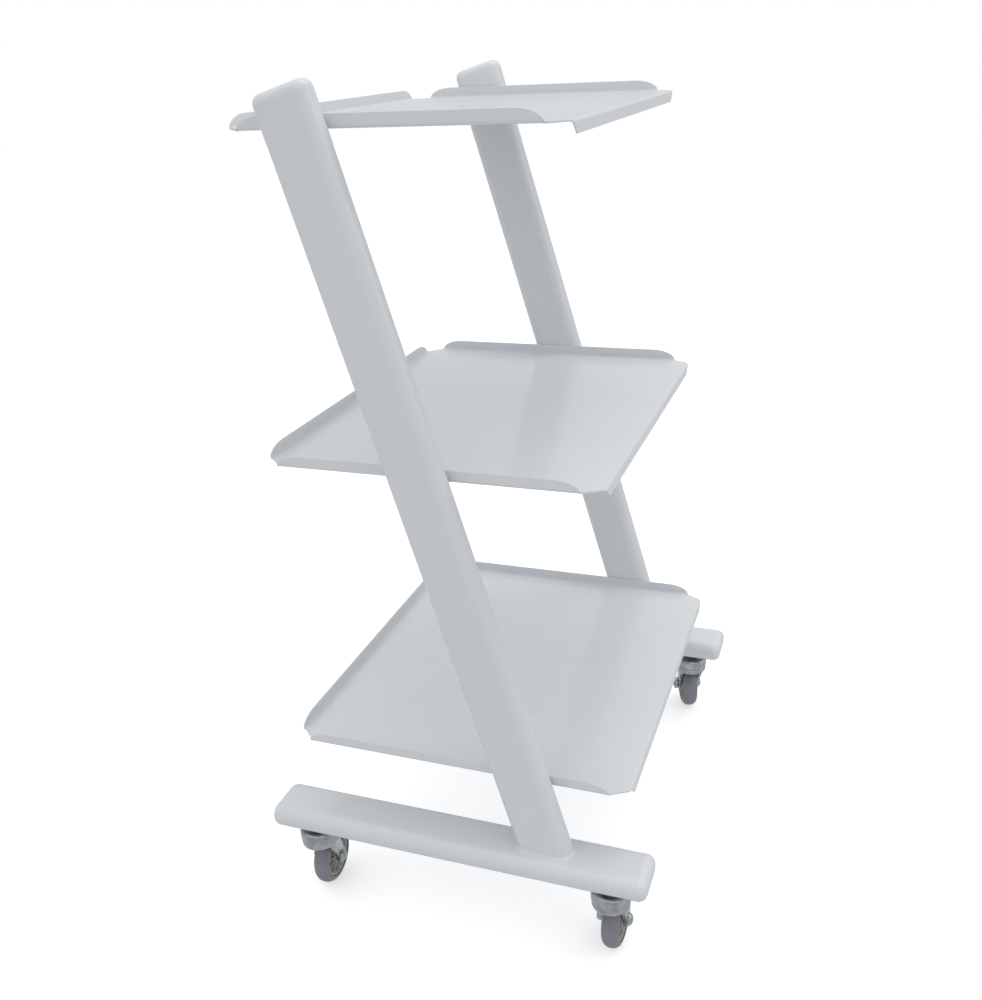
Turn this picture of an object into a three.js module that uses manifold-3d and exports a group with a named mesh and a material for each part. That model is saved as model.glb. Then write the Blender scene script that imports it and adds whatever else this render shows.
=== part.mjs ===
// Rolling three-tray trolley: two leaning side frames of flat-oval tube, three folded sheet trays
// between them and four swivel castors. Millimetres, +Z up, front towards -Y, left side frame at -X.
import * as THREE from 'three';
import { mergeVertices } from 'three/addons/utils/BufferGeometryUtils.js';
import Module from 'manifold-3d';

const wasm = await Module();
wasm.setup();

// ---- Driving dimensions ----
const GAP = 0.3; // clearance kept between neighbouring pieces
const BITE = 0.5; // how far the parts of one solid reach into each other

const TUBE = { width: 55, thickness: 25.4, wall: 1.5 };
const FOOT = { length: 405, axisHeight: 106.7 };
const UPRIGHT = { baseY: -100.1, lean: Math.atan(0.2808), reach: 756 };
const CAP = { dome: 9, inset: 8, plug: 14 };

const SHEET = 1.5;
const TRAY = {
  halfWidth: 212,
  flangeHeight: 10.5,
  flangeCurve: 25,
  hemDrop: 11.3,
  hemSlant: 13,
  frontCornerX: 13,
  frontCornerY: 19,
  rearCorner: 18,
};
const TRAYS = [
  { name: 'top', height: 801.7, front: -129.8, rear: 176 },
  { name: 'middle', height: 500.2, front: -153.9, rear: 180.5 },
  { name: 'bottom', height: 186.7, front: -177.3, rear: 185.5 },
];

const CASTOR = { y: 162.5, offset: 19 };
const CASTORS = [
  { name: 'left_front', side: -1, y: -CASTOR.y, heading: -1 },
  { name: 'left_rear', side: -1, y: CASTOR.y, heading: 2 },
  { name: 'right_front', side: 1, y: -CASTOR.y, heading: 20 },
  { name: 'right_rear', side: 1, y: CASTOR.y, heading: 10 },
];
const WHEEL = { radius: 31, halfWidth: 9.5, rimRadius: 23.3, rimInset: 1.5, hubRadius: 8.5 };
const WEB = { thickness: 6, inner: 9.5, outer: 19.5, draft: 1, holes: 5, holeRadius: 3.2, holeCircle: 14.4 };
const BUSH = { bore: 4.4, radius: 5.8 };
const STEM = { radius: 5, grip: 18, rivet: 9, rivetHeight: 2.6, chamfer: 1, bore: 5.4 };
const INSERT = { radius: 9 };
const LOCK_NUT = { flats: 17 };
const RACE = { radius: 14.6, slot: 2.9, outer: 20.4, height: 11.8, bevel: 4, roof: 1.2 };
const BALLS = { radius: 2.4, lift: 0.3 };
const CROWN = { bottom: 66.8, top: 74.2, radius: 19.6, groove: 70.4 };
const LEG = {
  inner: 10.9,
  thickness: 2.5,
  root: 1.2,
  eye: 8,
  hollowShare: 0.5,
  roundShare: 0.625,
  eyeStart: THREE.MathUtils.degToRad(205),
  eyeEnd: THREE.MathUtils.degToRad(378),
  crownStart: THREE.MathUtils.degToRad(158),
  crownEnd: THREE.MathUtils.degToRad(42),
  hollow: [5, 61],
  across: 10,
  down: 5,
};
const AXLE = {
  radius: 4,
  bore: 4.4,
  headRadius: 6.4,
  headHeight: 4.2,
  domeSteps: [0, 30, 60, 90],
  nutFlats: 13,
  nutHeight: 5,
  tail: 1,
};

const ROUND = { arc: 4, turn: 20, wheel: 24, tread: 8, small: 12, hole: 10, ball: 6, dome: 3 };

const SIDE_X = TRAY.halfWidth + GAP + TUBE.thickness / 2;
const FOOT_UNDERSIDE = FOOT.axisHeight - TUBE.thickness / 2;
const RACE_BOTTOM = CROWN.top + 2 * GAP;
const RACE_TOP = RACE_BOTTOM + RACE.height;
const LEG_OUTER = LEG.inner + LEG.thickness;
const LEG_SPAN = 2 * (LEG_OUTER + GAP);

// ---- Materials ----
const finish = (color, roughness, metalness) =>
  new THREE.MeshStandardMaterial({ color, roughness, metalness });
const whitePaint = () => finish(0xe9ecec, 0.3, 0.0);
const whitePlastic = () => finish(0xe6eaec, 0.35, 0.0);
const zinc = () => finish(0xb9bdbb, 0.3, 0.9);
const steel = () => finish(0x9a9d9f, 0.35, 0.9);
const greyRubber = () => finish(0x6d6f78, 0.6, 0.0);
const paleNylon = () => finish(0xc9c2b6, 0.45, 0.0);

// ---- Solid helpers ----
function solid(geometry) {
  const bare = geometry.clone();
  bare.deleteAttribute('normal');
  bare.deleteAttribute('uv');
  const merged = mergeVertices(bare);
  return new wasm.Manifold(
    new wasm.Mesh({
      numProp: 3,
      vertProperties: new Float32Array(merged.attributes.position.array),
      triVerts: new Uint32Array(merged.index.array),
    }),
  );
}

function geometryOf(manifold) {
  const mesh = manifold.getMesh();
  const geometry = new THREE.BufferGeometry();
  geometry.setAttribute('position', new THREE.BufferAttribute(mesh.vertProperties, 3));
  geometry.setIndex(new THREE.BufferAttribute(mesh.triVerts, 1));
  geometry.computeVertexNormals();
  return geometry;
}

const joined = (...geometries) => geometries.map(solid).reduce((whole, next) => whole.add(next));
const cutBy = (whole, tools) => tools.map(solid).reduce((rest, tool) => rest.subtract(tool), whole);

function named(name, geometry, material, position = [0, 0, 0]) {
  const mesh = new THREE.Mesh(geometry, material);
  mesh.name = name;
  mesh.position.set(...position);
  return mesh;
}

function box(low, high) {
  const size = high.map((value, axis) => value - low[axis]);
  const centre = high.map((value, axis) => (value + low[axis]) / 2);
  return new THREE.BoxGeometry(...size).translate(...centre);
}

// Turns a shape drawn in XY and extruded along Z: facingX draws it in YZ and extrudes it along +X,
// facingY draws it in XZ and extrudes it along -Y.
const FACING_X = new THREE.Matrix4().makeBasis(
  new THREE.Vector3(0, 1, 0),
  new THREE.Vector3(0, 0, 1),
  new THREE.Vector3(1, 0, 0),
);
const FACING_Y = new THREE.Matrix4().makeBasis(
  new THREE.Vector3(1, 0, 0),
  new THREE.Vector3(0, 0, 1),
  new THREE.Vector3(0, -1, 0),
);
const plain = (shape, depth) =>
  new THREE.ExtrudeGeometry(shape, { depth, bevelEnabled: false, curveSegments: ROUND.arc });
const facingX = (shape, depth) => plain(shape, depth).applyMatrix4(FACING_X);
const facingY = (shape, depth) => plain(shape, depth).applyMatrix4(FACING_Y);

const lathe = (points, segments) =>
  new THREE.LatheGeometry(points.map(([r, y]) => new THREE.Vector2(r, y)), segments);
const closedLathe = (points, segments) => lathe([...points, points[0]], segments);
const uprightLathe = (geometry) => geometry.rotateX(Math.PI / 2);

function oval(width, thickness, Outline = THREE.Shape) {
  const radius = thickness / 2;
  const straight = width / 2 - radius;
  const outline = new Outline();
  outline.absarc(straight, 0, radius, -Math.PI / 2, Math.PI / 2);
  outline.absarc(-straight, 0, radius, Math.PI / 2, (3 * Math.PI) / 2);
  outline.closePath();
  return outline;
}

function hexagon(flats) {
  const corner = flats / Math.sqrt(3);
  const points = Array.from({ length: 6 }, (_, i) => {
    const angle = (i * Math.PI) / 3;
    return new THREE.Vector2(corner * Math.cos(angle), corner * Math.sin(angle));
  });
  return new THREE.Shape(points);
}

const ovalTube = (length) => {
  const section = oval(TUBE.width, TUBE.thickness);
  section.holes.push(oval(TUBE.width - 2 * TUBE.wall, TUBE.thickness - 2 * TUBE.wall, THREE.Path));
  return plain(section, length);
};

// A domed end cap: its plug hangs below z = 0 into the tube, its dome stands above.
function endCap() {
  const dome = new THREE.ExtrudeGeometry(oval(TUBE.width, TUBE.thickness), {
    depth: GAP,
    bevelThickness: CAP.dome - GAP,
    bevelSize: CAP.inset,
    bevelOffset: -CAP.inset,
    bevelSegments: ROUND.dome,
    curveSegments: ROUND.arc,
  });
  const above = box([-TUBE.width, -TUBE.width, GAP], [TUBE.width, TUBE.width, TUBE.width]);
  const inside = 2 * (TUBE.wall + GAP);
  const plug = plain(oval(TUBE.width - inside, TUBE.thickness - inside), CAP.plug + GAP + BITE);
  return geometryOf(solid(dome).intersect(solid(above)).add(solid(plug.translate(0, 0, -CAP.plug))));
}

// ---- Side frames ----
function footTube() {
  const length = FOOT.length - 2 * CAP.dome;
  const tube = ovalTube(length).applyMatrix4(FACING_Y).translate(0, length / 2, 0);
  const openings = [-CASTOR.y, CASTOR.y].map((y) =>
    new THREE.CylinderGeometry(STEM.bore, STEM.bore, TUBE.thickness, ROUND.small)
      .rotateX(Math.PI / 2)
      .translate(0, y, -TUBE.thickness / 2),
  );
  return geometryOf(cutBy(solid(tube), openings));
}

// The upright in its own frame: origin on the foot's axis, +Z up the tube, mitred to stand on the foot.
function uprightTube() {
  const tube = ovalTube(UPRIGHT.reach - CAP.dome).rotateZ(Math.PI / 2);
  const reach = FOOT.length;
  const below = box([-reach, -reach, -reach], [reach, reach, TUBE.thickness / 2 + GAP]);
  return geometryOf(cutBy(solid(tube), [below.rotateX(UPRIGHT.lean)]));
}

function sideFrame(side) {
  const name = side < 0 ? 'left' : 'right';
  const frame = new THREE.Group();
  frame.position.x = side * SIDE_X;

  const foot = new THREE.Group();
  foot.position.z = FOOT.axisHeight;
  foot.add(named(`${name}_foot_tube`, footTube(), whitePaint()));
  for (const end of [-1, 1]) {
    const cap = named(`${name}_foot_${end < 0 ? 'front' : 'rear'}_cap`, endCap(), whitePlastic());
    cap.rotation.x = end < 0 ? Math.PI / 2 : -Math.PI / 2;
    cap.position.y = end * (FOOT.length / 2 - CAP.dome);
    foot.add(cap);
  }

  const upright = new THREE.Group();
  upright.position.set(0, UPRIGHT.baseY, FOOT.axisHeight);
  upright.rotation.x = -UPRIGHT.lean;
  upright.add(named(`${name}_upright_tube`, uprightTube(), whitePaint()));
  const topCap = named(`${name}_upright_cap`, endCap(), whitePlastic());
  topCap.rotation.z = Math.PI / 2;
  topCap.position.z = UPRIGHT.reach - CAP.dome;
  upright.add(topCap);

  frame.add(foot, upright);
  return frame;
}

// ---- Trays ----
// A flange's face: straight along the top, with a quarter ellipse down to the sheet at each end.
function flangeFace(start, end) {
  const { flangeCurve: curve, flangeHeight: height } = TRAY;
  const face = new THREE.Shape();
  face.moveTo(start, -SHEET);
  face.lineTo(end, -SHEET);
  face.lineTo(end, 0);
  face.absellipse(end - curve, 0, curve, height, 0, Math.PI / 2);
  face.absellipse(start + curve, 0, curve, height, Math.PI / 2, Math.PI);
  face.closePath();
  return face;
}

const polygon = (points) => new THREE.Shape(points.map(([x, y]) => new THREE.Vector2(x, y)));

// The tray in its own frame: z = 0 on the sheet's upper face.
function trayGeometry(tray) {
  const half = TRAY.halfWidth;
  const frontHalf = half - TRAY.frontCornerX;
  const rearHalf = half - TRAY.rearCorner;
  const sideStart = tray.front + TRAY.frontCornerY;
  const sideEnd = tray.rear - TRAY.rearCorner;

  const outline = polygon([
    [-frontHalf, tray.front],
    [frontHalf, tray.front],
    [half, sideStart],
    [half, sideEnd],
    [rearHalf, tray.rear],
    [-rearHalf, tray.rear],
    [-half, sideEnd],
    [-half, sideStart],
  ]);
  const floor = plain(outline, SHEET).translate(0, 0, -SHEET);

  const sideFace = flangeFace(sideStart, sideEnd);
  const leftFlange = facingX(sideFace, SHEET).translate(-half, 0, 0);
  const rightFlange = facingX(sideFace, SHEET).translate(half - SHEET, 0, 0);
  const rearFlange = facingY(flangeFace(-rearHalf, rearHalf), SHEET).translate(0, tray.rear, 0);

  const hemHalf = frontHalf - TRAY.hemSlant;
  const hemFace = polygon([
    [-frontHalf, 0],
    [-hemHalf, -TRAY.hemDrop],
    [hemHalf, -TRAY.hemDrop],
    [frontHalf, 0],
  ]);
  const hem = facingY(hemFace, SHEET).translate(0, tray.front + SHEET, 0);

  return geometryOf(joined(floor, leftFlange, rightFlange, rearFlange, hem));
}

// ---- Castors ----
function hexNut(flats, bore, height) {
  const section = hexagon(flats);
  const hole = new THREE.Path();
  hole.absarc(0, 0, bore, 0, 2 * Math.PI, true);
  section.holes.push(hole);
  return plain(section, height);
}

// Swivel bolt: its round head hangs under the fork's crown and its shank ends inside the foot.
function stemGeometry() {
  const seat = CROWN.bottom - GAP;
  return uprightLathe(
    lathe(
      [
        [0, seat - STEM.rivetHeight],
        [STEM.rivet - STEM.chamfer, seat - STEM.rivetHeight],
        [STEM.rivet, seat - STEM.chamfer],
        [STEM.rivet, seat],
        [STEM.radius, seat],
        [STEM.radius, FOOT_UNDERSIDE + STEM.grip],
        [0, FOOT_UNDERSIDE + STEM.grip],
      ],
      ROUND.small,
    ),
  );
}

// Threaded insert standing inside the foot tube, between its lower and upper walls.
function insertGeometry() {
  const bottom = FOOT_UNDERSIDE + TUBE.wall + GAP;
  const top = bottom + TUBE.thickness - 2 * (TUBE.wall + GAP);
  return uprightLathe(
    closedLathe(
      [
        [STEM.bore, bottom],
        [INSERT.radius, bottom],
        [INSERT.radius, top],
        [STEM.bore, top],
      ],
      ROUND.small,
    ),
  );
}

// The pressed upper race: a bevelled cup over the balls.
function upperRaceGeometry() {
  const roof = RACE_BOTTOM + RACE.roof;
  return uprightLathe(
    closedLathe(
      [
        [STEM.bore, RACE_BOTTOM],
        [RACE.radius - RACE.slot, RACE_BOTTOM],
        [RACE.radius - RACE.slot, roof],
        [RACE.radius + RACE.slot, roof],
        [RACE.radius + RACE.slot, RACE_BOTTOM],
        [RACE.outer, RACE_BOTTOM],
        [RACE.outer, RACE_TOP - RACE.bevel],
        [RACE.outer - RACE.bevel, RACE_TOP],
        [STEM.bore, RACE_TOP],
      ],
      ROUND.turn,
    ),
  );
}

const ballRingGeometry = () =>
  new THREE.TorusGeometry(RACE.radius, BALLS.radius, ROUND.ball, ROUND.turn).translate(
    0,
    0,
    CROWN.groove + BALLS.radius + BALLS.lift,
  );

// A point of a fork leg's outer skin: t runs from its leading to its trailing edge, s from the crown
// down to the axle eye. The skin leaves the crown's round wall and flattens towards the eye.
function legPoint(t, s) {
  const { lerp } = THREE.MathUtils;
  const crownAngle = lerp(LEG.crownStart, LEG.crownEnd, t);
  const eyeAngle = lerp(LEG.eyeStart, LEG.eyeEnd, t);
  const top = [CROWN.radius * Math.cos(crownAngle), CROWN.bottom + LEG.root];
  const foot = [
    CASTOR.offset + LEG.eye * Math.cos(eyeAngle),
    WHEEL.radius + LEG.eye * Math.sin(eyeAngle),
  ];
  const straight = top.map((value, axis) => (value + foot[axis]) / 2);
  const bend = LEG.hollow.map((value, axis) => lerp(value, straight[axis], Math.min(1, t / LEG.hollowShare)));
  const [x, z] = top.map(
    (value, axis) => value * (1 - s) ** 2 + bend[axis] * 2 * s * (1 - s) + foot[axis] * s ** 2,
  );
  const y = lerp(CROWN.radius * Math.sin(crownAngle), LEG_OUTER, Math.min(1, s / LEG.roundShare));
  return [x, y, z];
}

function forkLegGeometry(side) {
  const skins = [0, LEG.thickness].map((depth) =>
    Array.from({ length: LEG.across + 1 }, (_, i) =>
      Array.from({ length: LEG.down + 1 }, (_, j) => {
        const [x, y, z] = legPoint(i / LEG.across, j / LEG.down);
        return [x, side * (Math.max(y, LEG.thickness) - depth), z];
      }),
    ),
  );
  const [outer, inner] = skins;
  const quads = [];
  for (let i = 0; i < LEG.across; i += 1) {
    for (let j = 0; j < LEG.down; j += 1) {
      quads.push([outer[i][j], outer[i + 1][j], outer[i + 1][j + 1], outer[i][j + 1]]);
      quads.push([inner[i][j], inner[i][j + 1], inner[i + 1][j + 1], inner[i + 1][j]]);
    }
    quads.push([inner[i][0], inner[i + 1][0], outer[i + 1][0], outer[i][0]]);
    quads.push([outer[i][LEG.down], outer[i + 1][LEG.down], inner[i + 1][LEG.down], inner[i][LEG.down]]);
  }
  for (let j = 0; j < LEG.down; j += 1) {
    quads.push([outer[0][j], outer[0][j + 1], inner[0][j + 1], inner[0][j]]);
    quads.push([inner.at(-1)[j], inner.at(-1)[j + 1], outer.at(-1)[j + 1], outer.at(-1)[j]]);
  }
  const corners = quads.flatMap(([a, b, c, d]) => (side > 0 ? [a, b, c, a, c, d] : [a, c, b, a, d, c]));
  const geometry = new THREE.BufferGeometry();
  geometry.setAttribute('position', new THREE.Float32BufferAttribute(corners.flat(), 3));
  return geometry;
}

function forkGeometry() {
  const crown = uprightLathe(
    closedLathe(
      [
        [STEM.bore, CROWN.bottom],
        [CROWN.radius, CROWN.bottom],
        [CROWN.radius, CROWN.top],
        [RACE.radius + RACE.slot, CROWN.top],
        [RACE.radius + RACE.slot, CROWN.groove],
        [RACE.radius - RACE.slot, CROWN.groove],
        [RACE.radius - RACE.slot, CROWN.top],
        [STEM.bore, CROWN.top],
      ],
      ROUND.turn,
    ),
  );
  const legs = [-1, 1].map(forkLegGeometry);
  const bore = new THREE.CylinderGeometry(AXLE.bore, AXLE.bore, LEG_SPAN, ROUND.small);
  bore.translate(CASTOR.offset, 0, WHEEL.radius);
  return geometryOf(cutBy(joined(crown, ...legs), [bore]));
}

// Domed bolt along Y: its head is on the -Y side of the fork and its threaded end on the +Y side.
function axleBoltGeometry() {
  const seat = LEG_OUTER + GAP;
  const tail = seat + AXLE.nutHeight + AXLE.tail;
  const dome = AXLE.domeSteps.map((angle) => [
    AXLE.headRadius * Math.sin(THREE.MathUtils.degToRad(angle)),
    -seat - AXLE.headHeight * Math.cos(THREE.MathUtils.degToRad(angle)),
  ]);
  return lathe(
    [...dome, [AXLE.radius, -seat], [AXLE.radius, tail], [0, tail]],
    ROUND.small,
  );
}

const axleNutGeometry = () =>
  hexNut(AXLE.nutFlats, AXLE.bore, AXLE.nutHeight)
    .applyMatrix4(FACING_Y)
    .translate(0, LEG_OUTER + GAP + AXLE.nutHeight, 0);

const lockNutGeometry = () =>
  hexNut(LOCK_NUT.flats, STEM.bore, FOOT_UNDERSIDE - RACE_TOP - 2 * GAP).translate(0, 0, RACE_TOP + GAP);

function bushGeometry() {
  const half = LEG.inner - GAP;
  return closedLathe(
    [
      [BUSH.bore, -half],
      [BUSH.radius, -half],
      [BUSH.radius, half],
      [BUSH.bore, half],
    ],
    ROUND.small,
  );
}

function tyreGeometry() {
  const crownHeight = WHEEL.radius - WHEEL.rimRadius;
  const section = Array.from({ length: ROUND.tread + 1 }, (_, i) => {
    const angle = -Math.PI / 2 + (Math.PI * i) / ROUND.tread;
    return [WHEEL.rimRadius + crownHeight * Math.cos(angle), WHEEL.halfWidth * Math.sin(angle)];
  });
  return closedLathe(section, ROUND.wheel);
}

function hubGeometry() {
  const hubHalf = WHEEL.halfWidth - GAP;
  const rimHalf = WHEEL.halfWidth - WHEEL.rimInset;
  const rim = WHEEL.rimRadius - GAP;
  const webHalf = WEB.thickness / 2;
  const half = [
    [BUSH.radius + GAP, hubHalf],
    [WHEEL.hubRadius, hubHalf],
    [WEB.inner, webHalf],
    [WEB.outer, webHalf],
    [WEB.outer + WEB.draft, rimHalf],
    [rim, rimHalf],
  ];
  const mirrored = half.map(([r, y]) => [r, -y]);
  const wheel = closedLathe([...mirrored, ...half.reverse()], ROUND.turn);
  const holes = Array.from({ length: WEB.holes }, (_, i) => {
    const angle = (i * 2 * Math.PI) / WEB.holes;
    const hole = new THREE.CylinderGeometry(WEB.holeRadius, WEB.holeRadius, 2 * WEB.thickness, ROUND.hole);
    return hole.translate(WEB.holeCircle * Math.cos(angle), 0, WEB.holeCircle * Math.sin(angle));
  });
  return geometryOf(cutBy(solid(wheel), holes));
}

function castor({ name, side, y, heading }) {
  const mount = new THREE.Group();
  mount.position.set(side * SIDE_X, y, 0);
  mount.add(named(`${name}_castor_insert`, insertGeometry(), steel()));
  mount.add(named(`${name}_castor_stem`, stemGeometry(), steel()));
  mount.add(named(`${name}_castor_lock_nut`, lockNutGeometry(), steel()));
  mount.add(named(`${name}_castor_upper_race`, upperRaceGeometry(), zinc()));
  mount.add(named(`${name}_castor_ball_ring`, ballRingGeometry(), steel()));

  const swivel = new THREE.Group();
  swivel.rotation.z = THREE.MathUtils.degToRad(heading);
  swivel.add(named(`${name}_castor_fork`, forkGeometry(), zinc()));

  const axle = new THREE.Group();
  axle.position.set(CASTOR.offset, 0, WHEEL.radius);
  axle.add(named(`${name}_castor_axle_bolt`, axleBoltGeometry(), zinc()));
  axle.add(named(`${name}_castor_axle_nut`, axleNutGeometry(), zinc()));
  axle.add(named(`${name}_castor_bush`, bushGeometry(), steel()));
  axle.add(named(`${name}_castor_tyre`, tyreGeometry(), greyRubber()));
  axle.add(named(`${name}_castor_hub`, hubGeometry(), paleNylon()));
  swivel.add(axle);
  mount.add(swivel);
  return mount;
}

// ---- Assembly ----
const trolley = new THREE.Group();
for (const side of [-1, 1]) {
  trolley.add(sideFrame(side));
}
for (const tray of TRAYS) {
  trolley.add(named(`${tray.name}_tray`, trayGeometry(tray), whitePaint(), [0, 0, tray.height]));
}
for (const place of CASTORS) {
  trolley.add(castor(place));
}

// The origin is the middle of the outer box at floor level.
const outerBox = new THREE.Box3().setFromObject(trolley, true);
const middle = outerBox.getCenter(new THREE.Vector3());
trolley.position.set(-middle.x, -middle.y, -outerBox.min.z);

export default trolley;
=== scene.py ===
import math

import bmesh
import bpy
from mathutils import Matrix, Vector


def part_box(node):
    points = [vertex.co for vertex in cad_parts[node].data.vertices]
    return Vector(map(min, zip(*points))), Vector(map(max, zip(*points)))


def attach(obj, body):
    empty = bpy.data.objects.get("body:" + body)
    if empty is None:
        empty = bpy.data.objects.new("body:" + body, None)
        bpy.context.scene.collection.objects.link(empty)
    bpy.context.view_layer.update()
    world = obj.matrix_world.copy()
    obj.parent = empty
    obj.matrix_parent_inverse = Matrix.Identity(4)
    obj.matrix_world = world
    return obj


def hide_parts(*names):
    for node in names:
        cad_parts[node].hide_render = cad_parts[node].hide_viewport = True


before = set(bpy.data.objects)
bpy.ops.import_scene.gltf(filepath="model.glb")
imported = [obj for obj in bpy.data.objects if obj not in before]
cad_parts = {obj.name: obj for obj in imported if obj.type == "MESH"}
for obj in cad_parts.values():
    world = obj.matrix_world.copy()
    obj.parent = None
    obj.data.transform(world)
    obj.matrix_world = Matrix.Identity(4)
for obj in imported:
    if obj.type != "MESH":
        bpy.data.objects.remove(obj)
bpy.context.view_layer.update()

MM = 0.001


def node_mid(node, axis):
    low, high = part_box(node)
    return (low[axis] + high[axis]) / 2


# ---- Places and sizes read from the frame, in metres ----
LEFT_X = node_mid("left_foot_tube", 0)
RIGHT_X = node_mid("right_foot_tube", 0)
MID_X = (LEFT_X + RIGHT_X) / 2
FOOT_Z = node_mid("left_foot_tube", 2)
FOOT_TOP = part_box("left_foot_tube")[1][2]
FOOT_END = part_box("left_foot_rear_cap")[1][1]
FOOT_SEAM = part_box("left_foot_tube")[1][1]

# ---- Tube section, caps and uprights, in millimetres ----
OVAL_W, OVAL_T = 55.0, 25.4
CAP_RISE, CAP_INSET = 9.0, 8.0
CAP_TRIM = 0.4
WELD_GAP = 0.3
UPRIGHT_BASE_Y = -100.1
LEAN = math.atan(0.2808)
UPRIGHT_REACH = 756.0

# ---- Trays, in millimetres: a tray's front and rear edges are in y ----
SHEET = 1.5
HALF = 212.0
BEND = 2.0
FLANGE_RISE, FLANGE_CURVE = 10.5, 25.0
FRONT_CUT, REAR_CUT = 19.0, 18.0
HEM_DROP, HEM_TOP, HEM_LOW = 11.3, 200.5, 186.0
EDGE_ROUND = 0.35
TRAYS = {
    "top": (-129.8, 176.0),
    "middle": (-153.9, 180.5),
    "bottom": (-177.3, 185.5),
}

# ---- Castors: swivel axis in metres, heading in degrees; sizes in millimetres, arcs in degrees ----
CASTORS = {
    "left_front": (LEFT_X, -162.5 * MM, -1.0),
    "left_rear": (LEFT_X, 162.5 * MM, 2.0),
    "right_front": (RIGHT_X, -162.5 * MM, 20.0),
    "right_rear": (RIGHT_X, 162.5 * MM, 10.0),
}
TRAIL = 19.0
AXLE_Z = 31.0
CROWN_LOW, CROWN_HIGH, CROWN_RADIUS, GROOVE_Z = 66.8, 74.2, 19.6, 70.4
BALLS_IN, BALLS_OUT = 11.7, 17.5
STEM_BORE = 5.4
CHAMFER_SHARE = 0.98
LEG_FACE, LEG_SHEET, LEG_TOP, LEG_EYE = 13.4, 2.5, 68.0, 8.0
LEG_HOLLOW = (5.0, 61.0)
CROWN_ARC = (158.0, 42.0)
EYE_ARC = (205.0, 378.0)
AXLE_HEAD, AXLE_SHANK = 6.4, 4.0
TYRE_SEAT, TYRE_WALL, TYRE_HALF, TYRE_LIMIT = 23.3, 7.7, 9.3, 30.9
TREAD_GROOVE, GROOVE_ACROSS = 0.35, 5.6
RIBS = 10


# ---- Materials ----
class Nodes:
    """A small helper to write a node tree in a few lines."""

    def __init__(self, name):
        self.material = bpy.data.materials.new(name)
        self.material.use_nodes = True
        self.tree = self.material.node_tree
        self.tree.nodes.clear()
        self.out = self.tree.nodes.new("ShaderNodeOutputMaterial")
        self.shader = self.tree.nodes.new("ShaderNodeBsdfPrincipled")
        self.link(self.shader.outputs["BSDF"], self.out.inputs["Surface"])
        self.coords = self.tree.nodes.new("ShaderNodeTexCoord").outputs["Object"]

    def link(self, source, target):
        self.tree.links.new(source, target)

    def set(self, **values):
        for key, value in values.items():
            self.shader.inputs[key.replace("_", " ")].default_value = value

    def noise(self, scale, detail=3.0, roughness=0.5, stretch=None):
        source = self.coords
        if stretch:
            mapping = self.tree.nodes.new("ShaderNodeMapping")
            mapping.inputs["Scale"].default_value = stretch
            self.link(self.coords, mapping.inputs["Vector"])
            source = mapping.outputs["Vector"]
        node = self.tree.nodes.new("ShaderNodeTexNoise")
        node.inputs["Scale"].default_value = scale
        node.inputs["Detail"].default_value = detail
        node.inputs["Roughness"].default_value = roughness
        self.link(source, node.inputs["Vector"])
        return node.outputs["Fac"]

    def ramp(self, source, stops):
        node = self.tree.nodes.new("ShaderNodeValToRGB")
        elements = node.color_ramp.elements
        while len(elements) < len(stops):
            elements.new(0.5)
        for element, (place, colour) in zip(elements, stops):
            element.position = place
            element.color = (*colour, 1.0)
        self.link(source, node.inputs["Fac"])
        return node.outputs["Color"]

    def span(self, source, low, high):
        node = self.tree.nodes.new("ShaderNodeMapRange")
        node.inputs["To Min"].default_value = low
        node.inputs["To Max"].default_value = high
        self.link(source, node.inputs["Value"])
        return node.outputs["Result"]

    def mix(self, factor, first, second):
        node = self.tree.nodes.new("ShaderNodeMix")
        node.data_type = "RGBA"
        self.link(factor, node.inputs["Factor"])
        self.link(first, node.inputs["A"])
        self.link(second, node.inputs["B"])
        return node.outputs["Result"]

    def bump(self, height, distance, strength, under=None):
        node = self.tree.nodes.new("ShaderNodeBump")
        node.inputs["Strength"].default_value = strength
        node.inputs["Distance"].default_value = distance
        self.link(height, node.inputs["Height"])
        if under:
            self.link(under, node.inputs["Normal"])
        return node.outputs["Normal"]


def powder_coat(name, light, shade, rough=(0.20, 0.28)):
    """Gloss powder coat: faint tone drift, orange peel and a little handling dust."""
    n = Nodes(name)
    drift = n.noise(6.0, 4.0, 0.6)
    tone = n.ramp(drift, [(0.3, shade), (0.7, light)])
    dusty = n.ramp(n.noise(38.0, 3.0, 0.5), [(0.35, light), (0.75, shade)])
    n.link(n.mix(n.span(n.noise(15.0), 0.2, 0.6), tone, dusty), n.shader.inputs["Base Color"])
    n.link(n.span(n.noise(55.0, 5.0, 0.65), *rough), n.shader.inputs["Roughness"])
    wide = n.bump(n.noise(260.0, 1.0, 0.4), 0.00005, 0.25)
    n.link(n.bump(n.noise(900.0, 1.0, 0.4), 0.00001, 0.25, wide), n.shader.inputs["Normal"])
    n.set(IOR=1.5, Coat_Weight=0.45, Coat_Roughness=0.1)
    return n.material


def plated(name, light, shade, rough, grain=(1.0, 1.0, 1.0)):
    """Plated or plain steel: cloudy passivation, fine press marks and soft wear."""
    n = Nodes(name)
    cloud = n.noise(90.0, 5.0, 0.65)
    n.link(n.ramp(cloud, [(0.3, shade), (0.65, light)]), n.shader.inputs["Base Color"])
    n.link(n.span(n.noise(420.0, 4.0, 0.6), *rough), n.shader.inputs["Roughness"])
    marks = n.noise(700.0, 4.0, 0.6, grain)
    n.link(n.bump(marks, 0.00005, 0.35), n.shader.inputs["Normal"])
    n.set(Metallic=1.0)
    return n.material


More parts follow.
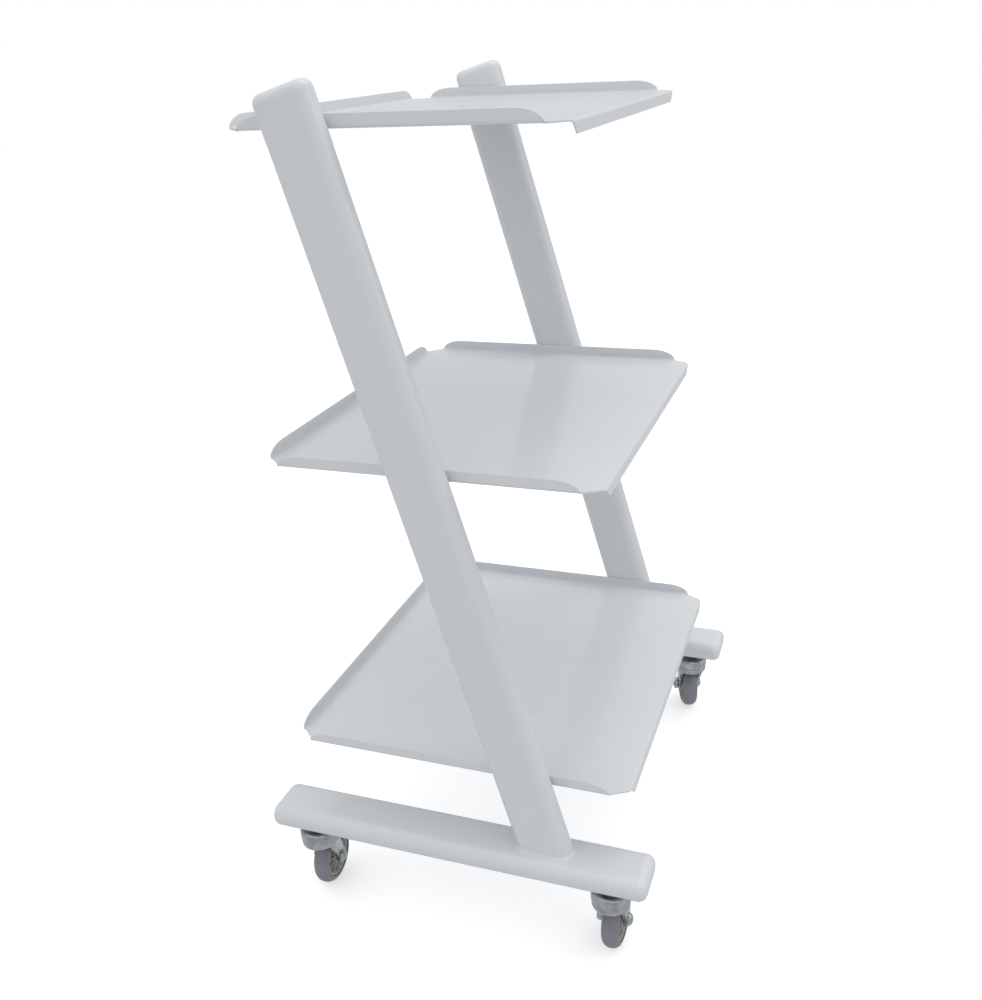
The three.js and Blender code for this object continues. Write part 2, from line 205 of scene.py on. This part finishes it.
def moulded(name, light, shade, rough, speck_scale, depth, **extra):
    """Moulded rubber or nylon: matt speckle, tone drift and a fine skin."""
    n = Nodes(name)
    drift = n.noise(70.0, 4.0, 0.6)
    speck = n.noise(speck_scale, 3.0, 0.7)
    tone = n.ramp(drift, [(0.3, shade), (0.7, light)])
    dots = n.ramp(speck, [(0.35, shade), (0.6, light)])
    n.link(n.mix(n.span(speck, 0.1, 0.5), tone, dots), n.shader.inputs["Base Color"])
    n.link(n.span(n.noise(500.0), *rough), n.shader.inputs["Roughness"])
    n.link(n.bump(speck, depth, 0.5), n.shader.inputs["Normal"])
    n.set(**extra)
    return n.material


COAT = powder_coat("white_powder_coat", (0.745, 0.77, 0.79), (0.715, 0.745, 0.77))
CAP_COAT = powder_coat("white_end_cap", (0.745, 0.77, 0.80), (0.72, 0.75, 0.785), (0.28, 0.38))
ZINC = plated("zinc_plate", (0.50, 0.54, 0.53), (0.29, 0.315, 0.315), (0.16, 0.30))
STEEL = plated("dark_steel", (0.34, 0.35, 0.36), (0.20, 0.205, 0.21), (0.3, 0.5))
TREAD = moulded("grey_tread", (0.27, 0.27, 0.305), (0.19, 0.19, 0.22), (0.45, 0.62), 1500.0, 0.00005)
NYLON = moulded(
    "pale_nylon", (0.50, 0.455, 0.40), (0.32, 0.28, 0.25), (0.3, 0.5), 900.0, 0.00004, Subsurface_Weight=0.05
)


# ---- Mesh helpers ----
def piece(name, bm, material, body, nodes, smooth_angle=40.0, weighted=False):
    """Turns a bmesh in row-frame metres into a finished piece riding on its body."""
    bmesh.ops.remove_doubles(bm, verts=bm.verts, dist=1e-7)
    bmesh.ops.recalc_face_normals(bm, faces=bm.faces)
    mesh = bpy.data.meshes.new(name)
    bm.to_mesh(mesh)
    bm.free()
    obj = bpy.data.objects.new(name, mesh)
    bpy.context.scene.collection.objects.link(obj)
    mesh.materials.append(material)
    mesh.set_sharp_from_angle(angle=math.radians(smooth_angle))
    if weighted:
        modifier = obj.modifiers.new("even_normals", "WEIGHTED_NORMAL")
        modifier.keep_sharp = True
    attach(obj, body)
    if nodes:
        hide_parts(*nodes)
    return obj


def round_edges(obj, width_mm, segments=3, angle=40.0):
    modifier = obj.modifiers.new("rounded_edges", "BEVEL")
    modifier.width = width_mm * MM
    modifier.segments = segments
    modifier.limit_method = "ANGLE"
    modifier.angle_limit = math.radians(angle)
    modifier.harden_normals = True
    modifier.use_clamp_overlap = True
    return obj


def loft(bm, rings, closed_ends=True):
    """Joins equal rings of points with quads; the end rings become flat faces."""
    made = [[bm.verts.new(point) for point in ring] for ring in rings]
    count = len(made[0])
    for lower, upper in zip(made, made[1:]):
        for i in range(count):
            j = (i + 1) % count
            bm.faces.new((lower[i], lower[j], upper[j], upper[i]))
    if closed_ends:
        bm.faces.new(list(reversed(made[0])))
        bm.faces.new(made[-1])
    return made


def turned(bm, profile, steps, place):
    """Turns a closed (radius, height) profile about Z; place maps each point to the row frame."""
    rings = []
    for k in range(steps):
        angle = 2 * math.pi * k / steps
        rings.append([bm.verts.new(place(polar(r, angle, z))) for r, z in profile])
    count = len(profile)
    for a, b in zip(rings, rings[1:] + rings[:1]):
        for i in range(count):
            j = (i + 1) % count
            if profile[i][0] < 1e-6 and profile[j][0] < 1e-6:
                continue
            if profile[i][0] < 1e-6:
                bm.faces.new((a[i], a[j], b[j]))
            elif profile[j][0] < 1e-6:
                bm.faces.new((a[i], a[j], b[i]))
            else:
                bm.faces.new((a[i], a[j], b[j], b[i]))


def polar(radius, angle, z):
    """Point in metres from a radius and height in millimetres and an angle in radians."""
    return Vector((radius * math.cos(angle), radius * math.sin(angle), z)) * MM


def arc(cx, cz, radius, start, end, steps):
    """Points of an arc in the (radius, height) plane, from start to end in degrees."""
    points = []
    for k in range(steps + 1):
        angle = math.radians(start + (end - start) * k / steps)
        points.append((cx + radius * math.cos(angle), cz + radius * math.sin(angle)))
    return points


def oval(inset=0.0, steps=20):
    """Flat-oval outline, wide along the first axis, pulled in by inset."""
    radius = OVAL_T / 2
    straight = OVAL_W / 2 - radius
    right = arc(straight, 0, radius - inset, -90, 90, steps)
    left = arc(-straight, 0, radius - inset, 90, 270, steps)
    return right + left


# ---- Tubes, end caps and welds ----
def dome_rings(start, rise, steps=14):
    """(inset, distance) pairs of the end rounding, from the full section to its flat top."""
    pairs = []
    for k in range(steps + 1):
        t = math.pi / 2 * k / steps
        pairs.append((CAP_INSET * (1 - math.cos(t)), start + rise * math.sin(t)))
    return pairs


def foot_point(side_x, outline, y):
    return [Vector((side_x + a * MM, y, FOOT_Z + b * MM)) for a, b in outline]


def build_foot(side, side_x):
    tube = bmesh.new()
    spans = [-FOOT_SEAM + 2 * FOOT_SEAM * k / 24 for k in range(25)]
    loft(tube, [foot_point(side_x, oval(), y) for y in spans])
    piece(f"{side}_foot", tube, COAT, "frame", [f"{side}_foot_tube"])
    for end, sign in (("front", -1), ("rear", 1)):
        cap = bmesh.new()
        rise = (FOOT_END - FOOT_SEAM) / MM
        rings = [foot_point(side_x, oval(d), sign * (FOOT_SEAM + h * MM)) for d, h in dome_rings(0, rise)]
        loft(cap, rings)
        piece(
            f"{side}_foot_{end}_end",
            cap,
            CAP_COAT,
            "frame",
            [f"{side}_foot_{end}_cap"],
        )


def upright_place(side_x, across, along, height):
    """A point of the leaning tube: across is X, along its wide side, height up its axis."""
    y = UPRIGHT_BASE_Y + along * math.cos(LEAN) + height * math.sin(LEAN)
    z = -along * math.sin(LEAN) + height * math.cos(LEAN)
    return Vector((side_x + across * MM, y * MM, FOOT_Z + z * MM))


def build_upright(side, side_x):
    tube = bmesh.new()
    outline = oval()
    seat = OVAL_T / 2 + WELD_GAP
    top = UPRIGHT_REACH - CAP_RISE
    mitre = [(b, a, (seat + a * math.sin(LEAN)) / math.cos(LEAN)) for a, b in outline]
    rings = []
    for k in range(33):
        t = k / 32
        rings.append([upright_place(side_x, b, a, foot + (top - foot) * t) for b, a, foot in mitre])
    loft(tube, rings)
    piece(f"{side}_upright", tube, COAT, "frame", [f"{side}_upright_tube"])

    cap = bmesh.new()
    rings = []
    for inset, height in dome_rings(top, CAP_RISE - CAP_TRIM):
        rings.append([upright_place(side_x, b, a, height) for a, b in oval(inset)])
    loft(cap, rings)
    piece(f"{side}_upright_top", cap, CAP_COAT, "frame", [f"{side}_upright_cap"])

    weld = bmesh.new()
    build_base_weld(weld, side_x, mitre)
    piece(f"{side}_base_weld", weld, COAT, "frame", [], smooth_angle=80)


def build_base_weld(bm, side_x, mitre, reach=3.6, steps=6):
    """Concave fillet of weld and paint between the upright's foot and the foot tube's top."""
    loops = []
    count = len(mitre)
    for i, (across, along, foot) in enumerate(mitre):
        before, after = mitre[i - 1], mitre[(i + 1) % count]
        tangent = Vector((after[0] - before[0], (after[1] - before[1]) / math.cos(LEAN), 0)).normalized()
        outward = Vector((tangent.y, -tangent.x, 0))
        if outward.dot(Vector((across, along, 0))) < 0:
            outward = -outward
        base = upright_place(side_x, across, along, foot)
        base.z = FOOT_TOP
        wobble = 1 + 0.1 * math.sin(i * 1.9) * math.sin(i * 0.7)
        up = Vector((0, math.sin(LEAN), math.cos(LEAN)))
        strip = []
        for k in range(steps + 1):
            t = math.pi / 2 * k / steps
            out = reach * wobble * (1 - math.sin(t))
            rise = reach * wobble * (1 - math.cos(t))
            strip.append(base + (outward * out + up * rise) * MM - Vector((0, 0, 0.1 * MM)))
        strip.append(base - outward * 0.8 * MM + up * reach * MM)
        strip.append(base - outward * 0.8 * MM - Vector((0, 0, 0.1 * MM)))
        loops.append([bm.verts.new(p) for p in strip])
    for a, b in zip(loops, loops[1:] + loops[:1]):
        for k in range(len(a)):
            j = (k + 1) % len(a)
            bm.faces.new((a[k], b[k], b[j], a[j]))


# ---- Folded sheet trays ----
class Sheet:
    """Upper skin of a folded tray, welded from strips by position."""

    def __init__(self, origin):
        self.bm = bmesh.new()
        self.origin = origin
        self.known = {}

    def vert(self, x, y, z):
        key = (round(x, 3), round(y, 3), round(z, 3))
        if key not in self.known:
            self.known[key] = self.bm.verts.new(self.origin + Vector((x, y, z)) * MM)
        return self.known[key]

    def face(self, *verts):
        unique = list(dict.fromkeys(verts))
        if len(unique) > 2:
            self.bm.faces.new(unique)

    def strip(self, columns):
        """Quads between neighbouring columns of equally many (x, y, z) points."""
        made = [[self.vert(*point) for point in column] for column in columns]
        for a, b in zip(made, made[1:]):
            for i in range(len(a) - 1):
                self.face(a[i], b[i], b[i + 1], a[i + 1])


def curved_end(distance, curve):
    """Share of the full height at this distance from a flange's end: a quarter ellipse."""
    if distance >= curve:
        return 1.0
    return math.sqrt(max(0.0, 1 - ((curve - distance) / curve) ** 2))


def end_stations(start, end, curve, fine=14, coarse=16):
    """Places along a flange, closer together in its curved ends."""
    near = [start + curve * (1 - math.cos(math.pi / 2 * k / fine)) for k in range(fine + 1)]
    far = [end - (value - start) for value in reversed(near)]
    middle = [near[-1] + (far[0] - near[-1]) * k / coarse for k in range(1, coarse)]
    return near + middle + far


def fold(length, radius, angle):
    """(outward, upward) after travelling length round a bend and on along the flange."""
    turn = radius * angle
    if length <= turn:
        t = length / radius
        return radius * math.sin(t), radius * (1 - math.cos(t))
    rest = length - turn
    out = radius * math.sin(angle) + rest * math.cos(angle)
    return out, radius * (1 - math.cos(angle)) + rest * math.sin(angle)


def fold_lengths(full, radius, angle, share_low, rows=5, straight=3):
    """Row distances that always put a row on the end of the bend where the flange is tall enough."""
    turn = radius * angle
    reach = full * share_low
    if reach > turn:
        return [turn * k / rows for k in range(rows)] + [
            turn + (reach - turn) * k / straight for k in range(straight + 1)
        ]
    return [reach * k / (rows + straight) for k in range(rows + straight + 1)]


def build_tray(name):
    front, rear = TRAYS[name]
    low, _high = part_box(f"{name}_tray")
    plate_z = low[2] + HEM_DROP * MM
    sheet = Sheet(Vector((MID_X, 0, plate_z)))

    side_line = HALF - SHEET - BEND
    side_start, side_end = front + FRONT_CUT, rear - REAR_CUT
    full = BEND * math.pi / 2 + FLANGE_RISE - BEND
    ys = end_stations(side_start, side_end, FLANGE_CURVE)
    for sign in (-1, 1):
        columns = []
        for y in ys:
            share = curved_end(min(y - side_start, side_end - y), FLANGE_CURVE)
            column = []
            for length in fold_lengths(full, BEND, math.pi / 2, share):
                out, up = fold(length, BEND, math.pi / 2)
                column.append((sign * (side_line + out), y, up))
            columns.append(column)
        sheet.strip(columns)

    rear_line = rear - SHEET - BEND
    rear_half = HALF - REAR_CUT
    xs = end_stations(-rear_half, rear_half, FLANGE_CURVE)
    columns = []
    for x in xs:
        share = curved_end(min(x + rear_half, rear_half - x), FLANGE_CURVE)
        column = []
        for length in fold_lengths(full, BEND, math.pi / 2, share):
            out, up = fold(length, BEND, math.pi / 2)
            column.append((x, rear_line + out, up))
        columns.append(column)
    sheet.strip(columns)

    outer = BEND + SHEET - 0.5
    hem_line = front + outer
    hem_full = outer * math.pi / 2 + HEM_DROP - outer
    spread = [-1] + [-0.93 + 1.86 * k / 24 for k in range(25)] + [1]
    rows = fold_lengths(hem_full, outer, math.pi / 2, 1.0, rows=8, straight=3)
    columns = []
    for s in spread:
        column = []
        for length in rows:
            out, drop = fold(length, outer, math.pi / 2)
            if abs(s) == 1:
                x = s * (HEM_TOP + (HEM_LOW - HEM_TOP) * length / hem_full)
            else:
                x = s * (HEM_LOW - 2)
            column.append((x, hem_line - out, -drop))
        columns.append(column)
    sheet.strip(columns)

    outline = [(side_line, y) for y in ys]
    outline += [(x, rear_line) for x in reversed(xs)]
    outline += [(-side_line, y) for y in reversed(ys)]
    outline += [(columns[i][0][0], hem_line) for i in range(len(columns))]
    sheet.face(*[sheet.vert(x, y, 0.0) for x, y in outline])

    bm = sheet.bm
    bmesh.ops.recalc_face_normals(bm, faces=bm.faces)
    plate = max(bm.faces, key=lambda face: face.calc_area())
    if plate.normal.z < 0:
        bmesh.ops.reverse_faces(bm, faces=bm.faces)
    mesh = bpy.data.meshes.new(f"{name}_shelf")
    bm.to_mesh(mesh)
    bm.free()
    obj = bpy.data.objects.new(f"{name}_shelf", mesh)
    bpy.context.scene.collection.objects.link(obj)
    mesh.materials.append(COAT)
    mesh.shade_smooth()
    solid = obj.modifiers.new("sheet", "SOLIDIFY")
    solid.thickness = SHEET * MM
    solid.offset = -1
    solid.use_even_offset = True
    edge = obj.modifiers.new("coated_edge", "BEVEL")
    edge.width = EDGE_ROUND * MM
    edge.segments = 2
    edge.limit_method = "ANGLE"
    edge.angle_limit = math.radians(50)
    edge.use_clamp_overlap = False
    edge.harden_normals = False
    even = obj.modifiers.new("even_normals", "WEIGHTED_NORMAL")
    even.weight = 90
    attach(obj, "frame")
    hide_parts(f"{name}_tray")


# ---- Castors ----
def castor_place(x, y, heading=0.0):
    """Maps castor coordinates in metres, +X trailing, to the row frame."""
    turn = Matrix.Rotation(math.radians(heading), 3, "Z")
    return lambda p: Vector((x, y, 0)) + turn @ p


def wheel_place(x, y, heading):
    """As castor_place, for something turned about the wheel's axle, with its local Z along -Y."""
    outer = castor_place(x, y, heading)
    stand = Matrix.Rotation(math.radians(90), 3, "X")
    return lambda p: outer(stand @ p + Vector((TRAIL, 0, AXLE_Z)) * MM)


def hexagon(flats, low, high, bore, place, bm, chamfer=0.7, steps=36):
    """Hexagonal nut along local Z with turned chamfers on both faces."""
    corner = flats / math.sqrt(3)

    def radius(angle):
        wrapped = (angle + math.pi / 6) % (math.pi / 3) - math.pi / 6
        return corner * math.cos(math.pi / 6) / math.cos(wrapped)

    levels = ((low, True), (low + chamfer, False), (high - chamfer, False), (high, True))
    rings = []
    for z, pulled in levels:
        ring = []
        for k in range(steps):
            angle = 2 * math.pi * k / steps
            reach = radius(angle + math.pi / 6)
            if pulled:
                reach = min(reach, flats / 2 * CHAMFER_SHARE)
            ring.append(place(polar(reach, angle, z)))
        rings.append(ring)
    for z in (high, low):
        rings.append([place(polar(bore, 2 * math.pi * k / steps, z)) for k in range(steps)])
    made = [[bm.verts.new(p) for p in ring] for ring in rings]
    for a, b in zip(made, made[1:] + made[:1]):
        for i in range(steps):
            j = (i + 1) % steps
            bm.faces.new((a[i], a[j], b[j], b[i]))


def leg_point(t, s):
    """Outer skin of a fork leg: t from its leading to its trailing edge, s from crown to axle eye."""
    crown_angle = math.radians(CROWN_ARC[0] + (CROWN_ARC[1] - CROWN_ARC[0]) * t)
    eye_angle = math.radians(EYE_ARC[0] + (EYE_ARC[1] - EYE_ARC[0]) * t)
    top = (CROWN_RADIUS * math.cos(crown_angle), LEG_TOP)
    foot = (TRAIL + LEG_EYE * math.cos(eye_angle), AXLE_Z + LEG_EYE * math.sin(eye_angle))
    share = min(1.0, t * 2)
    share = share * share * (3 - 2 * share)
    x, z = (
        a * (1 - s) ** 2 + (h + ((a + b) / 2 - h) * share) * 2 * s * (1 - s) + b * s**2
        for a, b, h in zip(top, foot, LEG_HOLLOW)
    )
    across = CROWN_RADIUS * math.sin(crown_angle)
    y = across + (LEG_FACE - across) * (1 - (1 - s) ** 2.6)
    return x, y, z


def build_leg(bm, place, side, across=44, down=26):
    """Pressed sheet leg: outer and inner skins joined round their rims."""
    skins = []
    for depth in (0.0, LEG_SHEET):
        grid = []
        for i in range(across + 1):
            row = []
            for j in range(down + 1):
                x, y, z = leg_point(i / across, j / down)
                row.append(bm.verts.new(place(Vector((x, side * (y - depth), z)) * MM)))
            grid.append(row)
        skins.append(grid)
    outer, inner = skins
    for i in range(across):
        for j in range(down):
            for grid in skins:
                bm.faces.new((grid[i][j], grid[i + 1][j], grid[i + 1][j + 1], grid[i][j + 1]))
        for j in (0, down):
            bm.faces.new((outer[i][j], outer[i + 1][j], inner[i + 1][j], inner[i][j]))
    for i in (0, across):
        for j in range(down):
            bm.faces.new((outer[i][j], outer[i][j + 1], inner[i][j + 1], inner[i][j]))


def build_fork(name, x, y, heading):
    place = castor_place(x, y, heading)
    bm = bmesh.new()
    crown = (
        [(STEM_BORE, CROWN_LOW), (CROWN_RADIUS - 1.2, CROWN_LOW)]
        + arc(CROWN_RADIUS - 1.2, CROWN_LOW + 1.2, 1.2, -90, 0, 5)
        + arc(CROWN_RADIUS - 0.7, CROWN_HIGH - 0.7, 0.7, 0, 90, 4)
        + [(BALLS_OUT, CROWN_HIGH), (BALLS_OUT, GROOVE_Z), (BALLS_IN, GROOVE_Z), (BALLS_IN, CROWN_HIGH)]
        + [(STEM_BORE, CROWN_HIGH)]
    )
    turned(bm, crown, 72, place)
    for side in (-1, 1):
        build_leg(bm, place, side)
    obj = piece(
        f"{name}_fork",
        bm,
        ZINC,
        f"{name}_swivel",
        [f"{name}_castor_fork"],
        smooth_angle=35,
    )
    round_edges(obj, 0.35, 2, 60)


def build_castor(name, x, y, heading):
    fixed = castor_place(x, y)
    race_low, race_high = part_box(f"{name}_castor_upper_race")
    bottom, top = race_low[2] / MM, race_high[2] / MM
    race = bmesh.new()
    profile = (
        [(STEM_BORE, bottom), (BALLS_IN, bottom), (BALLS_IN, bottom + 1.2)]
        + [(BALLS_OUT, bottom + 1.2), (BALLS_OUT, bottom)]
        + arc(19.7, bottom + 0.7, 0.7, -90, 0, 4)
        + arc(16.4, top - 4.0, 4.0, 0, 90, 12)
        + [(12.2, top), (11.6, top - 0.5), (10.6, top - 0.5), (10.0, top), (STEM_BORE, top)]
    )
    turned(race, profile, 72, fixed)
    piece(
        f"{name}_housing",
        race,
        ZINC,
        "frame",
        [f"{name}_castor_upper_race"],
        smooth_angle=50,
    )

    nut_low, nut_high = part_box(f"{name}_castor_lock_nut")
    nut = bmesh.new()
    hexagon(17.0, nut_low[2] / MM + 1.4, nut_high[2] / MM, 5.3, fixed, nut)
    turned(nut, [(5.3, top + 0.3), (9.4, top + 0.3), (9.4, top + 1.7), (5.3, top + 1.7)], 48, fixed)
    piece(f"{name}_nut_and_washer", nut, STEEL, "frame", [f"{name}_castor_lock_nut"])

    build_fork(name, x, y, heading)

    wheel = wheel_place(x, y, heading)
    bolt = bmesh.new()
    head = []
    for degrees in range(0, 91, 9):
        angle = math.radians(degrees)
        head.append((AXLE_HEAD * math.sin(angle), 13.9 + 4.0 * math.cos(angle)))
    shank = [(AXLE_HEAD, 13.7), (AXLE_SHANK, 13.7), (AXLE_SHANK, -19.0), (3.4, -19.6), (0.0, -19.6)]
    turned(bolt, head + shank, 40, wheel)
    piece(
        f"{name}_axle",
        bolt,
        ZINC,
        f"{name}_swivel",
        [f"{name}_castor_axle_bolt"],
        smooth_angle=50,
    )

    back_nut = bmesh.new()
    hexagon(13.0, -18.7, -13.7, 4.2, wheel, back_nut, chamfer=0.6)
    piece(
        f"{name}_axle_back_nut",
        back_nut,
        ZINC,
        f"{name}_swivel",
        [f"{name}_castor_axle_nut"],
    )

    build_wheel(name, wheel)


def build_wheel(name, wheel):
    body = f"{name}_wheel"
    tyre = bmesh.new()
    section = []
    for k in range(49):
        angle = math.radians(-90 + 180 * k / 48)
        radius = TYRE_SEAT + TYRE_WALL * math.cos(angle) ** 0.94
        across = TYRE_HALF * math.sin(angle)
        groove = TREAD_GROOVE * math.exp(-(((abs(across) - GROOVE_ACROSS) / TREAD_GROOVE) ** 2))
        section.append((min(radius, TYRE_LIMIT) - groove, across))
    turned(tyre, section, 120, wheel)
    piece(f"{name}_tread", tyre, TREAD, body, [f"{name}_castor_tyre"], smooth_angle=60)

    hub = bmesh.new()
    half = (
        [(5.9, 9.2), (7.8, 9.2)]
        + arc(7.8, 8.5, 0.7, 90, 0, 3)
        + [(8.9, 3.6), (9.5, 3.0), (18.9, 3.0), (19.6, 3.6)]
        + [(20.3, 7.4), (20.9, 8.0), (22.6, 8.0), (23.0, 7.6)]
    )
    mirrored = [(r, -z) for r, z in reversed(half)]
    turned(hub, half + mirrored, 80, wheel)
    for k in range(RIBS):
        add_rib(hub, wheel, 2 * math.pi * (k + 0.5) / RIBS)
    piece(f"{name}_wheel_centre", hub, NYLON, body, [f"{name}_castor_hub"], smooth_angle=35)


def add_rib(bm, wheel, angle, thickness=1.3):
    """Thin radial rib on both faces of the wheel centre, between its boss and rim."""
    along = Vector((math.cos(angle), math.sin(angle), 0))
    across = Vector((-math.sin(angle), math.cos(angle), 0))
    for sign in (-1, 1):
        corners = [(8.2, 2.8), (20.0, 2.8), (20.4, 6.9), (8.2, 7.8)]
        rings = []
        for offset in (-thickness / 2, thickness / 2):
            rings.append(
                [wheel((along * r + across * offset + Vector((0, 0, sign * z))) * MM) for r, z in corners]
            )
        loft(bm, rings)


for side, side_x in (("left", LEFT_X), ("right", RIGHT_X)):
    build_foot(side, side_x)
    build_upright(side, side_x)
for tray_name in TRAYS:
    build_tray(tray_name)
for castor_name, (castor_x, castor_y, castor_heading) in CASTORS.items():
    build_castor(castor_name, castor_x, castor_y, castor_heading)

# ---- Carried-over CAD nodes keep their shape and take a finished material ----
KEPT = {"_insert": STEEL, "_stem": STEEL, "_ball_ring": STEEL, "_bush": STEEL}
for node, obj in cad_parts.items():
    for ending, material in KEPT.items():
        if node.endswith(ending):
            obj.data.materials.clear()
            obj.data.materials.append(material)

# ---- Camera, at the photograph's viewing angle ----
YAW, PITCH, ROLL = math.radians(20.85), math.radians(23.12), math.radians(-3.0)
forward = Vector((math.cos(PITCH) * math.cos(YAW), math.cos(PITCH) * math.sin(YAW), -math.sin(PITCH)))
right = forward.cross(Vector((0, 0, 1))).normalized()
up = right.cross(forward)
tilted_right = math.cos(ROLL) * right + math.sin(ROLL) * up
tilted_up = -math.sin(ROLL) * right + math.cos(ROLL) * up
camera_data = bpy.data.cameras.new("camera")
camera_data.lens = 38.53
camera_data.sensor_width = 36.0
camera_data.sensor_fit = "AUTO"
camera_data.clip_start = 0.01
camera = bpy.data.objects.new("camera", camera_data)
bpy.context.scene.collection.objects.link(camera)
place = Matrix((tilted_right, tilted_up, -forward)).transposed().to_4x4()
place.translation = Vector((MID_X - 1.0262, -0.3624, 0.8581))
camera.matrix_world = place
bpy.context.scene.camera = camera


# ---- Floor and studio light ----
def area_light(name, location, target, size, power, colour=(1, 1, 1)):
    data = bpy.data.lights.new(name, "AREA")
    data.shape = "RECTANGLE"
    data.size, data.size_y = size
    data.energy = power
    data.color = colour
    light = bpy.data.objects.new(name, data)
    bpy.context.scene.collection.objects.link(light)
    light.location = location
    light.rotation_euler = (Vector(target) - Vector(location)).to_track_quat("-Z", "Y").to_euler()
    return light


floor_mesh = bpy.data.meshes.new("floor")
floor_mesh.from_pydata([(-9, -9, 0), (9, -9, 0), (9, 9, 0), (-9, 9, 0)], [], [(0, 1, 2, 3)])
floor = bpy.data.objects.new("floor", floor_mesh)
bpy.context.scene.collection.objects.link(floor)
floor_look = Nodes("pale_floor")
floor_look.link(
    floor_look.ramp(floor_look.noise(1.2), [(0.2, (0.89, 0.89, 0.89)), (0.8, (0.91, 0.91, 0.91))]),
    floor_look.shader.inputs["Base Color"],
)
floor_look.link(floor_look.span(floor_look.noise(3.0), 0.85, 0.95), floor_look.shader.inputs["Roughness"])
floor_look.set(Emission_Color=(1.0, 1.0, 1.0, 1.0), Emission_Strength=0.42)
floor_mesh.materials.append(floor_look.material)
floor.visible_diffuse = False
floor.visible_glossy = False

world = bpy.data.worlds.new("studio")
world.use_nodes = True
sky = world.node_tree
sky.nodes.clear()
direction = sky.nodes.new("ShaderNodeTexCoord").outputs["Generated"]
parts = sky.nodes.new("ShaderNodeSeparateXYZ")
sky.links.new(direction, parts.inputs["Vector"])
dome = sky.nodes.new("ShaderNodeValToRGB")
height = sky.nodes.new("ShaderNodeMapRange")
height.inputs["From Min"].default_value = -1.0
sky.links.new(parts.outputs["Z"], height.inputs["Value"])
sky.links.new(height.outputs["Result"], dome.inputs["Fac"])
dome.color_ramp.elements.new(0.5)
for element, place, tone in zip(
    dome.color_ramp.elements, (0.3, 0.55, 0.9), ((0.66, 0.67, 0.69), (0.60, 0.61, 0.625), (1.0, 1.0, 1.0))
):
    element.position = place
    element.color = (*tone, 1.0)
soft = sky.nodes.new("ShaderNodeBackground")
soft.inputs["Strength"].default_value = 1.0
sky.links.new(dome.outputs["Color"], soft.inputs["Color"])
backdrop = sky.nodes.new("ShaderNodeBackground")
backdrop.inputs["Color"].default_value = (1.0, 1.0, 1.0, 1.0)
seen = sky.nodes.new("ShaderNodeLightPath").outputs["Is Camera Ray"]
choose = sky.nodes.new("ShaderNodeMixShader")
sky.links.new(seen, choose.inputs[0])
sky.links.new(soft.outputs[0], choose.inputs[1])
sky.links.new(backdrop.outputs[0], choose.inputs[2])
sky.links.new(choose.outputs[0], sky.nodes.new("ShaderNodeOutputWorld").inputs["Surface"])
bpy.context.scene.world = world
bpy.context.scene.view_settings.view_transform = "Standard"

area_light("key", (0.6, -0.6, 3.0), (0, 0, 0.4), (1.6, 1.6), 9, (1.0, 0.99, 0.97))
area_light("side", (0.4, -3.0, 1.4), (0, 0, 0.4), (1.2, 1.2), 4, (1.0, 0.99, 0.98))
